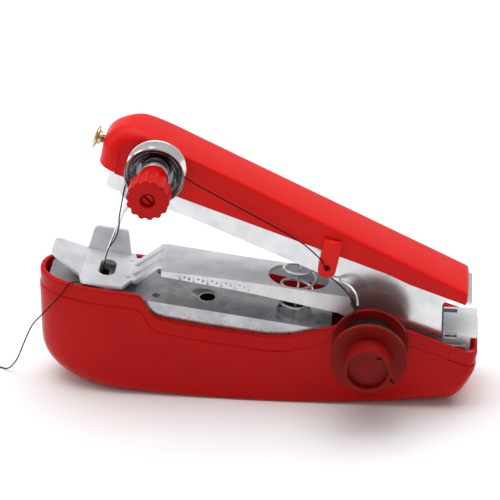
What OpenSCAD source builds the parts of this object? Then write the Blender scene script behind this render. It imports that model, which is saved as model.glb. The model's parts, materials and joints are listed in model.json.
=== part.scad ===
// Handheld lever sewing machine.
// Needle end at -X, hinge end at +X, spool side at -Y, +Z up.
// The origin is on the table, under the middle of the base.

/* [Base] */
// Overall length of the base
base_length = 111.8; // [108:0.2:116]
// Width of the base
base_width = 22; // [21.6:0.1:22.6]
// Wall thickness of the base housing
base_wall = 1.6; // [1.2:0.1:1.6]
// Radius of the rounded lower edges of the base
base_edge_r = 3; // [2:0.5:4]

/* [Metal] */
// Sheet thickness of the stampings
sheet = 0.8; // [0.6:0.1:0.8]
// Radius of the hinge pin
pin_r = 1.5; // [1.2:0.1:1.6]
// Radial play of the turning parts
play = 0.05; // [0.03:0.01:0.08]

/* [Lever] */
// Width of the lever cover
cover_width = 16; // [15.6:0.1:16.4]
// Wall thickness of the lever cover
cover_wall = 1.2; // [1:0.1:1.2]
// Outer width of the lever channel
channel_width = 15.2; // [15:0.1:15.2]

/* [Spool and tension] */
// Radius of the spool's flanges
spool_r = 9.5; // [8:0.1:9.6]
// Radius of the thread wound on the spool
winding_r = 7.4; // [5:0.1:7.6]
// Radius of the tension knob
knob_r = 5.2; // [4.8:0.1:5.6]
// Number of flutes on the tension knob
knob_flutes = 14; // [10:1:18]

/* [Hidden] */

$fn = 48;
far = 200;

// base
base_front = -base_length / 2 - 0.5;
base_rear = base_length / 2 - 0.5;
half_w = base_width / 2;
bow_l = 21.5;
bow_power = 2.35;
bow_rise = 12.5;
bow_sweep = 15;
stern_r = 2.5;
tray_gap = 0.1;
tray_inset = base_wall + tray_gap;
deck_x = -29.2;
deck_z = 27.3;
deck_slope = -0.139;
saddle_x = 46.3;
saddle_z = 19.8;
saddle_half_w = 7;
saddle_lip = 2.6;
saddle_drop = 5.6;
frame_cut_x = 18.2;
frame_cut = 8.3;
saddle_foot_y = 8.15;
post_places = [[-26, 6], [-26, -6], [15.5, 6], [15.5, -6]];
post_r = 2.4;
screw_r = 1;
screw_head_r = 2;
screw_head_h = 1.2;
screw_recess = 1.8;

// hinge
hinge_x = 47;
hinge_z = 13;
hinge_half = 9.3;
ear_r = 3.5;
clip_r = 2.7;
clip_y = 7.95;
clip_t = 0.45;

// lever frame: its origin is on the cover's lower edge, its x axis runs to the tail
lever_x = -7.1;
lever_z = 51.8;
lever_angle = 20.28;
channel_half = channel_width / 2;
cover_half = cover_width / 2;
lever_hinge_x = 64.2;
lever_hinge_z = -17.64;
needle_x = -24.2;
needle_tip = -29.5;
needle_top = 5.6;
needle_shank_r = 0.8;
needle_r = 0.42;
clamp_z = 3.35;
clamp_r = 1.15;
tension_x = -20.96;
tension_z = 5.37;
tension_post_r = 1.2;
disc_r = 7.35;
disc_t = 0.4;
disc_y = -11;
disc_gap = 0.54;
rivet_places = [-9, 44];
tab_x = 17.05;
tab_lean = 11;
hook_r = 0.25;
tab_z = 38.05;
tab_r = 2.25;
tab_t = 1.2;
tab_front = -9.5;

// presser arm
arm_x = -24.5;
arm_z = 34.6;
arm_slope = -0.119;
arm_front_half = 7.25;
arm_half = 6.5;
foot_x = -40;
foot_z = 31.2;
foot_hole_x = -39;
foot_hole_r = 2.05;
foot_hole_reach = 2.05;
needle_hole_x = -40.05;
needle_hole_r = 1.15;
needle_hole_reach = 2.4;
foot_far = 9;
foot_near = -8.9;

// spring and strip
spring_x = 8.7;
spring_z = 22.25;
spring_lean = 6.94;
spring_h = 20.9;
spring_turns = 7;
spring_wire_r = 0.32;
spring_r = 4.2;

// spool
spool_x = 28.3;
spool_z = 19.7;
spool_back = -12;
spool_front = -20.8;
spool_face = -26.5;
flange_t = 1.2;
spool_core_r = 3.4;
spool_hub_r = 5.8;
spool_dish_r = 5.1;
spindle_r = 1.5;

// looper
looper_x = -20;
looper_z = 12;
looper_pin_r = 1;
looper_cheek = 3.6;

// thread
thread_r = 0.17;

// ---------- helpers ----------

function deck_top(x) = deck_z + deck_slope * (x - deck_x);
function arm_top(x) = arm_z + arm_slope * (x - arm_x);
function foot_top(x) = foot_z + deck_slope * (x - foot_x);
function unit(v) = v / norm(v);

// one point of a smooth curve through the points of p, between point i and the next
function curve_at(p, i, t) =
    let (a = p[max(i - 1, 0)], b = p[i], c = p[i + 1], d = p[min(i + 2, len(p) - 1)])
    0.5 * (2 * b + (c - a) * t + (2 * a - 5 * b + 4 * c - d) * t * t
        + (3 * b - a - 3 * c + d) * t * t * t);

function smooth_path(p, n) = concat(
    [for (i = [0 : len(p) - 2]) for (k = [0 : n - 1]) curve_at(p, i, k / n)],
    [p[len(p) - 1]]
);

function path_dir(p, i) = unit(p[min(i + 1, len(p) - 1)] - p[max(i - 1, 0)]);

// a closed round tube along a path; side_dir is never along the path
module tube(path, r, sides, side_dir) {
    n = len(path);
    points = [
        for (i = [0 : n - 1])
            let (t = path_dir(path, i), u = unit(cross(t, side_dir)), v = cross(t, u))
            for (k = [0 : sides - 1])
                path[i] + r * (u * cos(360 * k / sides) + v * sin(360 * k / sides))
    ];
    walls = [
        for (i = [0 : n - 2]) for (k = [0 : sides - 1])
            let (a = i * sides + k, b = i * sides + (k + 1) % sides)
            each [[a, b, b + sides], [a, b + sides, a + sides]]
    ];
    start_cap = [for (k = [sides - 1 : -1 : 0]) k];
    end_cap = [for (k = [0 : sides - 1]) (n - 1) * sides + k];
    polyhedron(points = points, faces = concat(walls, [start_cap, end_cap]));
}

// points of a coil about +Z with closed ends
function coil_path(r, h, turns, steps) = [
    for (i = [0 : turns * steps])
        let (t = i / (turns * steps), e = t - sin(360 * t) / 360 * 40)
        [r * cos(360 * i / steps), r * sin(360 * i / steps), h * e]
];

// an outline in X and Z, drawn out along Y
module slab(outline, y0, y1) {
    translate([0, y1, 0]) rotate([90, 0, 0]) linear_extrude(y1 - y0) polygon(outline);
}

module round_y(x, z, r, y0, y1) {
    translate([x, y1, z]) rotate([90, 0, 0]) cylinder(r = r, h = y1 - y0);
}

// an upright slot with round ends, its length across the machine
module slot_y(x, r, reach, z0, z1) {
    for (y = [-reach, reach]) translate([x, y, z0]) cylinder(r = r, h = z1 - z0);
    translate([x - r, -reach, z0]) cube([2 * r, 2 * reach, z1 - z0]);
}

// a cylinder from the lever's front to its tail
module round_x(x0, x1, y, z, r) {
    translate([x0, y, z]) rotate([0, 90, 0]) cylinder(r = r, h = x1 - x0);
}

module on_lever() {
    translate([lever_x, 0, lever_z]) rotate([0, lever_angle, 0]) children();
}

// a ring of points on a circle of radius r
function arc(cx, cy, r, from, to, n) = [
    for (i = [0 : n]) let (a = from + (to - from) * i / n) [cx + r * cos(a), cy + r * sin(a)]
];

// ---------- base ----------

// plan of the base, drawn in by an inset: round bow, nearly square stern
function bow_half(inset) = [
    for (i = [0 : 12])
        let (a = 90 * i / 12)
        [base_front + bow_l - (bow_l - inset) * pow(max(sin(90 - a), 0), 2 / bow_power),
            (half_w - inset) * pow(sin(a), 2 / bow_power)]
];
function stern_half(inset) = arc(
    base_rear - stern_r - inset, half_w - stern_r - inset, stern_r, 90, 0, 5);
function plan_half(inset) = concat(bow_half(inset), stern_half(inset));
function plan(inset) = concat(
    plan_half(inset), [for (i = [len(plan_half(inset)) - 1 : -1 : 1])
        [plan_half(inset)[i][0], -plan_half(inset)[i][1]]]);

module base_plan(inset, z0, z1) {
    translate([0, 0, z0]) linear_extrude(z1 - z0) polygon(plan(inset));
}

// underside of the base from the stern to the bow
function keel(inset) = concat(
    [[base_rear - inset, 16], [base_rear - 0.8 - inset, 11]],
    [[base_rear - 4.2 - inset, 3.6 + inset / 2]],
    [[base_rear - 6.1 - inset, 0.9 + inset], [base_rear - 8.8 - inset, inset]],
    [for (i = [0 : 10]) let (a = 90 * i / 10)
        [base_front + bow_sweep - (bow_sweep - inset) * sin(a),
            bow_rise - (bow_rise - inset) * cos(a)]]
);
bow_rim = [[base_front, 31.5], [-47, 30.7], [-32, 29.4]];
far_rim = concat(bow_rim, [[38.5, 22.1], [base_rear, 16.3]]);
near_rim = concat(
    bow_rim,
    [[-29.4, 28.7], [-28.6, 27.6]],
    arc(-23.6, 26.6, 4.2, 188, 262, 5),
    [[-12.8, 20.7], [2.7, 18.9], [8, 19.2], [13, 20.5], [18.4, 22.4], [23, 23.7]],
    [[28, 24.1], [33, 23.6], [38.5, 22.1], [base_rear, 16.3]]
);

module edge_block(inset, y0, y1) {
    w = half_w - inset;
    r = base_edge_r;
    section = concat(
        [[-w, 60]], arc(-w + r, inset + r, r, 180, 270, 6), arc(w - r, inset + r, r, 270, 360, 6),
        [[w, 60]]
    );
    intersection() {
        translate([-far / 2, 0, 0]) rotate([90, 0, 90]) linear_extrude(far) polygon(section);
        translate([-far / 2, y0, -1]) cube([far, y1 - y0, 80]);
    }
}

module base_half(rim, y0, y1) {
    intersection() {
        slab(concat(keel(0), rim), -half_w, half_w);
        base_plan(0, -1, 60);
        edge_block(0, y0, y1);
    }
}

module base_cavity() {
    intersection() {
        slab(concat(keel(base_wall), [[base_front + base_wall, 40], [base_rear - base_wall, 40]]),
            -half_w, half_w);
        base_plan(base_wall, -1, 60);
        edge_block(base_wall, -half_w, half_w);
    }
}

module at_posts() {
    for (p = post_places) translate([p[0], p[1], 0]) children();
}

function under_deck(x) = deck_top(x) - sheet;

module base_housing() {
    color([0.72, 0.07, 0.05]) difference() {
        union() {
            difference() {
                union() {
                    base_half(near_rim, -half_w, 0);
                    base_half(far_rim, 0, half_w);
                }
                base_cavity();
            }
            for (p = post_places)
                translate([p[0], p[1], 0.6])
                    cylinder(r = post_r, h = under_deck(p[0] + post_r) - 0.6);
            round_y(spool_x, spool_z, 3.4, -half_w - 0.4, -half_w);
        }
        at_posts() translate([0, 0, -1]) cylinder(r = screw_r, h = 40);
        at_posts() translate([0, 0, -1]) cylinder(r = screw_head_r + 0.1, h = 1 + screw_recess);
        round_y(spool_x, spool_z, spindle_r, -half_w - 1, -half_w + base_wall + 0.5);
    }
}

// a row of plain ticks pressed into a near face, along a sloping line
module ticks(x0, x1, step, z_top, slope, y) {
    for (i = [0 : floor((x1 - x0) / step)]) {
        x = x0 + i * step;
        h = i % 3 == 0 ? 1.5 : (i % 3 == 1 ? 0.45 : 0.9);
        translate([x, y - 1, z_top + slope * (x - x0) - h]) cube([0.5, 1.12, h]);
    }
}

tray_front = base_front + 3;
tray_rear = 52.2;
tray_side = [
    [tray_front, deck_top(tray_front)], [43.5, deck_top(43.5)], [45, 17.9], [tray_rear, 17.9],
    [tray_rear, 12], [50, 8.6], [46, 8.2], [41, 10.5], [34, 12.7], [tray_front, 23.8]
];
tray_inside = [
    [tray_front - 5, under_deck(tray_front - 5)], [43, under_deck(43)], [43, 40], [60, 40],
    [60, 0], [tray_front - 5, 0]
];

module base_frame() {
    color([0.66, 0.67, 0.69]) difference() {
        intersection() {
            slab(tray_side, -half_w, half_w);
            base_plan(tray_inset, -1, 60);
        }
        intersection() {
            slab(tray_inside, -half_w, half_w);
            base_plan(tray_inset + sheet, -1, 60);
        }
        translate([frame_cut_x, -frame_cut, 0]) cube([60, 2 * frame_cut, 60]);
        round_y(hinge_x, hinge_z, pin_r, -half_w, half_w);
        slot_y(needle_hole_x, needle_hole_r, needle_hole_reach, 20, 40);
        translate([-13.4, -2, 20]) cylinder(r = 2, h = 20);
        translate([-13.4, -2, deck_top(-13.4) - 0.35]) cylinder(r1 = 2.6, r2 = 4.4, h = 1);
        translate([4.7, -1.5, 15]) cube([6, 3, 20]);
        at_posts() translate([0, 0, 10]) cylinder(r = screw_r, h = 30);
        ticks(-20, 10, 1.15, 23.9, deck_slope, -half_w + tray_inset);
    }
}

// a bent sheet over the hinge: its feet are welded to the frame's two walls
module saddle_plate() {
    far_slot = [4.2, 6.1];
    near_slot = -5.9;
    slot_x = [46.8, 49.8];
    foot_x = 51;
    color([0.88, 0.89, 0.9]) difference() {
        union() {
            translate([saddle_x, -saddle_half_w, saddle_z - sheet])
                cube([base_rear - 0.5 - saddle_x, 2 * saddle_half_w, sheet]);
            for (side = [0, 1]) mirror([0, side, 0]) {
                translate([saddle_x, -saddle_half_w, saddle_z - saddle_lip])
                    cube([53.2 - saddle_x, sheet, saddle_lip]);
                translate([foot_x, -saddle_half_w, saddle_z - saddle_drop])
                    cube([2.2, sheet, saddle_drop]);
                translate([foot_x, -saddle_foot_y, saddle_z - saddle_drop])
                    cube([0.6, saddle_foot_y - saddle_half_w + 0.2, sheet]);
            }
        }
        translate([slot_x[0] - 2, far_slot[0], saddle_z - 2])
            cube([slot_x[1] - slot_x[0] + 2, far_slot[1] - far_slot[0], 4]);
        translate([slot_x[0], -saddle_half_w - 1, saddle_z - 1.1])
            cube([slot_x[1] - slot_x[0], near_slot + saddle_half_w + 1, 4]);
    }
}

module hinge_pin() {
    color([0.75, 0.76, 0.78]) round_y(hinge_x, hinge_z, pin_r, -hinge_half, hinge_half);
}

module pin_clips() {
    color([0.45, 0.46, 0.48]) for (y = [-clip_y - clip_t, clip_y])
        difference() {
            round_y(hinge_x, hinge_z, clip_r, y, y + clip_t);
            round_y(hinge_x, hinge_z, pin_r, y - 1, y + clip_t + 1);
            translate([hinge_x - 0.5, y - 1, hinge_z - 2 * clip_r]) cube([1, 3, 2 * clip_r]);
        }
}

module housing_screws() {
    color([0.7, 0.71, 0.73]) for (p = post_places)
        translate([p[0], p[1], screw_recess - screw_head_h]) difference() {
            union() {
                cylinder(r = screw_head_r, h = screw_head_h);
                cylinder(r = screw_r, h = under_deck(p[0]) - 0.6);
            }
            translate([-0.25, -1.2, -0.1]) cube([0.5, 2.4, 0.7]);
            translate([-1.2, -0.25, -0.1]) cube([2.4, 0.5, 0.7]);
        }
}

// ---------- spool ----------

module spool_spindle() {
    color([0.78, 0.79, 0.8])
        round_y(spool_x, spool_z, spindle_r, -24, -half_w + base_wall);
}

module spool_washer() {
    color([0.7, 0.71, 0.73]) difference() {
        round_y(spool_x, spool_z, 3.2, -11.85, -11.4);
        round_y(spool_x, spool_z, spindle_r, -13, -10);
    }
}

module spool() {
    color([0.48, 0.1, 0.07]) difference() {
        union() {
            round_y(spool_x, spool_z, spool_r, spool_back - flange_t, spool_back);
            round_y(spool_x, spool_z, spool_r, spool_front, spool_front + flange_t);
            round_y(spool_x, spool_z, spool_core_r, spool_front, spool_back);
            round_y(spool_x, spool_z, spool_hub_r, spool_face, spool_front);
        }
        difference() {
            round_y(spool_x, spool_z, spool_dish_r, spool_face - 1, spool_face + 1.4);
            round_y(spool_x + 3, spool_z + 2.6, 0.7, spool_face + 0.6, spool_face + 2);
        }
        round_y(spool_x, spool_z, spindle_r + play, -24.4, -10);
        translate([spool_x, spool_front - 1, spool_z]) rotate([0, 45, 0])
            translate([spool_hub_r + 0.3, 0, -0.25]) cube([5, 3, 0.5]);
    }
}

module thread_winding() {
    color([0.06, 0.05, 0.05]) difference() {
        round_y(spool_x, spool_z, winding_r, spool_front + flange_t, spool_back - flange_t);
        round_y(spool_x, spool_z, spool_core_r, -30, 0);
    }
}

// ---------- looper ----------

module looper_bracket() {
    top = under_deck(looper_x + 3);
    color([0.72, 0.73, 0.75]) difference() {
        union() {
            for (y = [-looper_cheek - sheet, looper_cheek])
                translate([looper_x - 3, y, looper_z - 3]) cube([6, sheet, top - looper_z + 3]);
            translate([looper_x - 3, -looper_cheek - sheet, top - sheet])
                cube([6, 2 * (looper_cheek + sheet), sheet]);
        }
        round_y(looper_x, looper_z, looper_pin_r, -10, 10);
    }
}

module looper_pin() {
    color([0.75, 0.76, 0.78])
        round_y(looper_x, looper_z, looper_pin_r, -looper_cheek - sheet, looper_cheek + sheet);
}

module looper_spring() {
    color([0.8, 0.81, 0.82]) translate([looper_x, -0.9, looper_z]) rotate([90, 0, 0])
        tube(coil_path(1.75, 2, 3, 12), 0.25, 6, [0, 0, 1]);
}

looper_side = concat(
    [[9.5, 15.5], [6, 15.5], [2, 13.4], [-18, 14.8]],
    [[-36, 16.2], [-38.6, 17.6], [-40.4, 17.2], [-39.2, 15.4], [-36, 13.6]],
    arc(looper_x, looper_z, 2.6, 200, 320, 6),
    [[2, 11.2], [6.5, 12.4], [9.5, 13.6]]
);

module looper() {
    color([0.82, 0.83, 0.84]) difference() {
        union() {
            slab(looper_side, 0.9, 1.7);
            translate([5.6, -1.5, 14.7]) cube([3.9, 3.2, 0.8]);
            round_y(looper_x, looper_z, 2.2, -0.6, 1.7);
        }
        round_y(looper_x, looper_z, looper_pin_r + play, -5, 5);
    }
}

module presser_spring() {
    color([0.7, 0.71, 0.73]) translate([hinge_x, 3, hinge_z]) rotate([90, 0, 0])
        tube(coil_path(2.5, 6, 5, 12), 0.4, 6, [0, 0, 1]);
}

// ---------- lever, in its own frame ----------

function cover_top(x) = 9.38 - 0.1074 * (x + 3.47);
cover_crown = 0.9;
cover_front = -35.4;
cover_rear = 63;
cover_side = concat(
    [[cover_rear, 0], [cover_rear, 1.6], [cover_rear - 0.9, cover_top(62) + 0.6]],
    [[20, cover_top(20) + cover_crown], [-26, cover_top(-26) + cover_crown]],
    [for (i = [0 : 8]) let (a = 90 + 100 * i / 8)
        [-26.5 + 8.9 * cos(a), 4.4 + 8.25 * sin(a)]],
    [[-34.2, 0]]
);
cover_inside = concat(
    [[cover_rear - cover_wall, -1], [cover_rear - cover_wall, 0.6]],
    [[20, cover_top(20) + cover_crown - cover_wall]],
    [[-26, cover_top(-26) + cover_crown - cover_wall]],
    [for (i = [0 : 8]) let (a = 90 + 100 * i / 8)
        [-26.5 + 7.7 * cos(a), 4.4 + 7.05 * sin(a)]],
    [[-33, -1]]
);
cover_end_plan = concat(
    [[cover_rear, -cover_half], [cover_rear, cover_half]],
    arc(cover_front + 5, cover_half - 5, 5, 90, 180, 6),
    arc(cover_front + 5, -cover_half + 5, 5, 180, 270, 6)
);

module guide_tab() {
    translate([tab_x, 0, tab_z]) rotate([0, tab_lean, 0]) difference() {
        union() {
            translate([-tab_r, tab_front, 0]) cube([2 * tab_r, tab_t, 7.9]);
            translate([-tab_r, tab_front, 6]) cube([2 * tab_r, -tab_front - 7.9, 1.9]);
            round_y(0, 0, tab_r, tab_front, tab_front + tab_t);
        }
        round_y(0, 0.55, 0.8, -12, -7);
    }
}

module lever_cover() {
    color([0.86, 0.16, 0.14]) union() {
        on_lever() difference() {
            union() {
                difference() {
                    intersection() {
                        slab(cover_side, -cover_half, cover_half);
                        translate([0, 0, -1]) linear_extrude(30) polygon(cover_end_plan);
                    }
                    slab(cover_inside, -cover_half + cover_wall, cover_half - cover_wall);
                }
                for (x = rivet_places) translate([x, 0, 0]) cylinder(r = 2.4, h = cover_top(x));
                round_y(tension_x, tension_z, 2.6, -cover_half + 0.5, -cover_half + 3.5);
            }
            for (x = rivet_places) translate([x, 0, -1]) cylinder(r = 1, h = 4);
            round_x(-50, -30, 0, clamp_z, clamp_r + 0.3);
            round_y(tension_x, tension_z, tension_post_r, -20, -cover_half + 3);
        }
        guide_tab();
    }
}

channel_side = concat(
    [[64.3, 0], [64.3, -sheet], [60.6, -sheet]],
    arc(60.6, -3.6, 2.8, 90, 180, 6),
    [[61.66, -13.68]],
    [for (a = [120 : -20 : -180])
        [lever_hinge_x + ear_r * cos(a), lever_hinge_z + ear_r * sin(a)]],
    [[44, -17], [36.8, -12.6], [33.8, -7.5], [17.6, -6.5], [-7.7, -4.96], [-27, -4.84]],
    arc(-29.2, -3, 1.9, 270, 180, 4),
    [[-31.1, 0]]
);

module lever_channel() {
    inner = channel_half - 0.7;
    color([0.84, 0.85, 0.86]) on_lever() difference() {
        union() {
            difference() {
                slab(channel_side, -channel_half, channel_half);
                translate([-50, -inner, -40]) cube([120, 2 * inner, 40 - sheet]);
            }
        }
        translate([needle_x - 3.3, -3, -5]) cube([6.6, 6, 10]);
        for (x = rivet_places) translate([x, 0, -5]) cylinder(r = 1, h = 10);
        translate([lever_hinge_x, 0, lever_hinge_z]) rotate([90, 0, 0])
            cylinder(r = pin_r + play, h = 40, center = true);
    }
}

module cover_rivets() {
    color([0.75, 0.76, 0.78]) on_lever() for (x = rivet_places) translate([x, 0, 0]) union() {
        translate([0, 0, -sheet]) cylinder(r = 1, h = sheet + 3);
        translate([0, 0, -sheet - 0.7]) cylinder(r1 = 1.4, r2 = 2, h = 0.7);
    }
}

module needle_holder() {
    color([0.74, 0.75, 0.77]) on_lever() difference() {
        union() {
            translate([needle_x - 3.3, -3, -3]) cube([6.6, 6, 9]);
            translate([needle_x, 0, -9]) cylinder(r = 2.4, h = 6);
        }
        translate([needle_x, 0, -12]) cylinder(r = needle_shank_r, h = 12 + needle_top);
        round_x(needle_x - 8, needle_x, 0, clamp_z, clamp_r + play);
    }
}

module needle() {
    color([0.93, 0.94, 0.95]) on_lever() translate([needle_x, 0, 0]) difference() {
        union() {
            translate([0, 0, -13]) cylinder(r = needle_shank_r, h = 13 + needle_top);
            translate([0, 0, -14]) cylinder(r1 = needle_r, r2 = needle_shank_r, h = 1);
            translate([0, 0, needle_tip + 3]) cylinder(r = needle_r, h = -14 - needle_tip - 3);
            translate([0, 0, needle_tip]) cylinder(r1 = 0.06, r2 = needle_r, h = 3);
        }
        translate([0, 0, needle_tip + 3.4]) rotate([90, 0, 0]) cylinder(r = 0.2, h = 3, center = true);
    }
}

module needle_screw() {
    color([0.85, 0.66, 0.3]) on_lever() difference() {
        union() {
            round_x(-37.7, -36.7, 0, clamp_z, 2.9);
            round_x(-36.7, -35.9, 0, clamp_z, 1.7);
            round_x(-35.9, needle_x - needle_shank_r - 0.1, 0, clamp_z, clamp_r);
        }
        translate([-38, -4, clamp_z - 0.3]) cube([0.75, 8, 0.6]);
    }
}

// a tension disc: flat middle, rim turned away to one side
module saucer(side) {
    profile = [
        [1.3, 0], [4.6, 0], [5.6, 0.45], [6.6, 1.5], [disc_r, 2.0],
        [disc_r, 2.0 + disc_t], [6.4, 2.0], [5.4, 0.95], [4.5, disc_t], [1.3, disc_t]
    ];
    translate([tension_x, disc_y, tension_z]) rotate([-90, 0, 0])
        mirror([0, 0, side]) translate([0, 0, disc_gap / 2]) rotate_extrude() polygon(profile);
}

module tension_disc_back() {
    color([0.87, 0.88, 0.89]) on_lever() saucer(0);
}

module tension_disc_front() {
    color([0.87, 0.88, 0.89]) on_lever() saucer(1);
}

module tension_post() {
    color([0.78, 0.79, 0.8]) on_lever() difference() {
        round_y(tension_x, tension_z, tension_post_r, -25.6, -cover_half + 3);
        translate([tension_x, -25, tension_z]) rotate([0, 25, 0])
            translate([-2, -1, -0.3]) cube([4, 1.2, 0.6]);
    }
}

module tension_spring() {
    color([0.86, 0.87, 0.88]) on_lever() translate([tension_x, -12.2, tension_z])
        rotate([90, 0, 0]) tube(coil_path(3, 1.5, 2, 16), 0.35, 6, [0, 0, 1]);
}

module tension_knob() {
    color([0.8, 0.12, 0.1]) on_lever() difference() {
        union() {
            round_y(tension_x, tension_z, 3.6, -20.9, -14.5);
            round_y(tension_x, tension_z, knob_r, -26.2, -20.7);
            round_y(tension_x, tension_z, knob_r - 0.6, -26.5, -26.1);
        }
        for (i = [0 : knob_flutes - 1]) {
            a = 360 * i / knob_flutes;
            round_y(tension_x + (knob_r + 0.35) * cos(a), tension_z + (knob_r + 0.35) * sin(a),
                0.8, -27, -20);
        }
        round_y(tension_x, tension_z, tension_post_r + play, -30, -10);
        round_y(tension_x, tension_z, 1.9, -30, -24.9);
    }
}

hook_route = [
    [20.4, -7.6, 34.9], [20.4, -8.6, 34.9], [21.8, -9.8, 34.8], [23.4, -11.2, 34.3],
    [24.6, -12.6, 33.2], [25, -13.6, 31.9], [25, -14, 31]
];

module thread_hook() {
    color([0.85, 0.86, 0.87]) tube(smooth_path(hook_route, 3), hook_r, 8, [0.3, 0.1, 1]);
}

module push_strip() {
    color([0.8, 0.81, 0.82]) difference() {
        translate([spring_x, 0, spring_z]) rotate([0, spring_lean, 0])
            translate([-0.3, -1, -6.2]) cube([0.6, 2, 36]);
        on_lever() translate([-60, -20, -sheet]) cube([160, 40, 40]);
    }
}

// ---------- presser arm ----------

arm_plan = [
    [arm_x - 1, -arm_front_half], [-5, -arm_half], [60, -arm_half],
    [60, arm_half], [-5, arm_half], [arm_x - 1, arm_front_half]
];
arm_inner_plan = [
    [arm_x - 2, -arm_front_half + sheet], [-5, -arm_half + sheet], [60, -arm_half + sheet],
    [60, arm_half - sheet], [-5, arm_half - sheet], [arm_x - 2, arm_front_half - sheet]
];
arm_side = concat(
    [[arm_x, arm_top(arm_x)], [42, arm_top(42)], [45.2, 24.4], [45.4, 17.2]],
    [for (a = [110 : -20 : -150]) [hinge_x + ear_r * cos(a), hinge_z + ear_r * sin(a)]],
    [[36, 13.5], [29, 20.2], [20, arm_top(20) - 5], [0, arm_top(0) - 3.2], [arm_x, arm_top(arm_x) - 1.6]]
);
arm_under = [
    [arm_x - 1, arm_top(arm_x - 1) - sheet], [41, arm_top(41) - sheet], [41, 40], [60, 40],
    [60, 0], [arm_x - 1, 0]
];
foot_plan = concat(
    [[-34.3, foot_near], [-32.6, -4.7], [-32.6, 7.5], [-33, foot_far]],
    [[-45.5, foot_far], [-45.5, -5.7], [-44.9, -8.2], [-44.3, foot_near]]
);
ramp_side = [
    [arm_x + 0.4, arm_top(arm_x)], [arm_x - 1.2, arm_top(arm_x)], [-31.6, foot_top(-31.6)],
    [-33.4, foot_top(-33.4)], [-33.4, foot_top(-33.4) - sheet], [-31.2, foot_top(-31.2) - sheet],
    [arm_x - 1, arm_top(arm_x) - sheet], [arm_x + 0.4, arm_top(arm_x) - sheet]
];
tab_outline = concat(
    [[-45.4, foot_top(-45.4) - sheet], [-34, foot_top(-34) - sheet]],
    arc(-35.7, foot_top(-37) + 5.6, 1.2, 0, 90, 4),
    arc(-42.3, foot_top(-42) + 5.6, 1.2, 90, 165, 4)
);

// front wing: it rises ahead of the foot and narrows
wing_plan = [
    [-45, -5.7], [-45, foot_far], [-46.5, foot_far - 0.6], [-51.6, 6.6], [-53, 5.2],
    [-53, -1.4], [-51.6, -2.6], [-46.5, -5.2]
];
wing_side = [
    [-45, foot_top(-45)], [-46.2, foot_top(-46.2) + 0.3], [-53, 36], [-53.4, 35.2],
    [-46.4, foot_top(-46.4) - sheet + 0.3], [-45, foot_top(-45) - sheet]
];

module spring_hole() {
    r = 5.6;
    reach = 2.05;
    for (x = [-reach, reach]) translate([9.6 + x, 0, 20]) cylinder(r = r, h = 20);
    translate([9.6 - reach, -r, 20]) cube([2 * reach, 2 * r, 20]);
}

module presser_arm() {
    color([0.8, 0.81, 0.83]) difference() {
        union() {
            difference() {
                intersection() {
                    slab(arm_side, -arm_front_half, arm_front_half);
                    linear_extrude(60) polygon(arm_plan);
                }
                intersection() {
                    slab(arm_under, -arm_front_half, arm_front_half);
                    linear_extrude(60) polygon(arm_inner_plan);
                }
                spring_hole();
                ticks(-20, -2, 1.15, 33.3, arm_slope - 0.01, -6.4);
            }
            slab(ramp_side, -4.7, 7.1);
            for (y = [-1.2, 3.6]) ramp_rib(y);
            foot_plate();
            slab(tab_outline, foot_far - sheet, foot_far);
            intersection() {
                slab(wing_side, -10, 10);
                linear_extrude(60) polygon(wing_plan);
            }
            for (y = [-3.2, 5.4])
                translate([-33.6, y, foot_top(-33.6) - 0.3]) cylinder(r = 0.55, h = 0.55);
        }
        slot_y(foot_hole_x, foot_hole_r, foot_hole_reach, 20, 40);
        round_y(hinge_x, hinge_z, pin_r + play, -20, 20);
    }
}

module foot_plate() {
    top = [[-60, foot_top(-60)], [-20, foot_top(-20)], [-20, foot_top(-20) - sheet],
        [-60, foot_top(-60) - sheet]];
    intersection() {
        slab(top, -12, 12);
        linear_extrude(60) polygon(foot_plan);
    }
}

// a half-round rib down the ramp
module ramp_rib(y) {
    run = norm([7.1, arm_z - foot_top(-32.4)]);
    pitch = atan2(arm_z - foot_top(-32.4), 7.1);
    translate([-32.4, y, foot_top(-32.4) - 0.15]) rotate([0, 90 - pitch, 0])
        cylinder(r = 0.6, h = run);
}

// ---------- springs and thread ----------

module main_spring() {
    color([0.9, 0.91, 0.92])
        translate([spring_x, 0, spring_z + 0.3]) rotate([0, spring_lean, 0])
            translate([0, 0, 0.45])
                tube(coil_path(spring_r, spring_h - 1.4, spring_turns, 14), spring_wire_r, 6,
                    [0, 0, 1]);
}

supply_route = [[22.5, -15.8, 25.1], [23.4, -15.4, 27.8], [24.5, -15.05, 30.2]];

module thread_supply() {
    color([0.05, 0.05, 0.05]) tube(smooth_path(supply_route, 4), thread_r, 8, [0, 1, 0.2]);
}

upper_route = [
    [24.6, -15, 30.6], [23.9, -13.8, 32], [22.3, -11.6, 33.2], [20.2, -9.5, 34.2],
    [18.3, -8.15, 35.2], [17.3, -7.96, 36.8], [17, -8.05, 38], [17, -8.9, 38.55],
    [16.8, -9.85, 38.9], [15.4, -9.8, 41.3], [12.2, -9.3, 44.2], [9.8, -9.1, 45.9],
    [4.6, -9.3, 49.2], [-12, -10.2, 59], [-17.4, -11, 62.8], [-22.6, -11, 66.9],
    [-26, -11, 67.3], [-29.6, -11, 65], [-32.3, -11, 60.3]
];

module thread_upper() {
    color([0.05, 0.05, 0.05]) tube(smooth_path(upper_route, 2), thread_r, 8, [0.25, 0.2, -0.9]);
}

fall_route = [
    [-32.4, -10.9, 60], [-33.8, -9, 53.4], [-34.7, -7, 48.8], [-35.1, -5, 45.4],
    [-36.5, -2.6, 40.8], [-38.6, -1.5, 36.8], [-39.7, -1.4, 32.7]
];

module thread_fall() {
    color([0.05, 0.05, 0.05]) tube(smooth_path(fall_route, 3), thread_r, 8, [1, 0.2, 0]);
}

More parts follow.
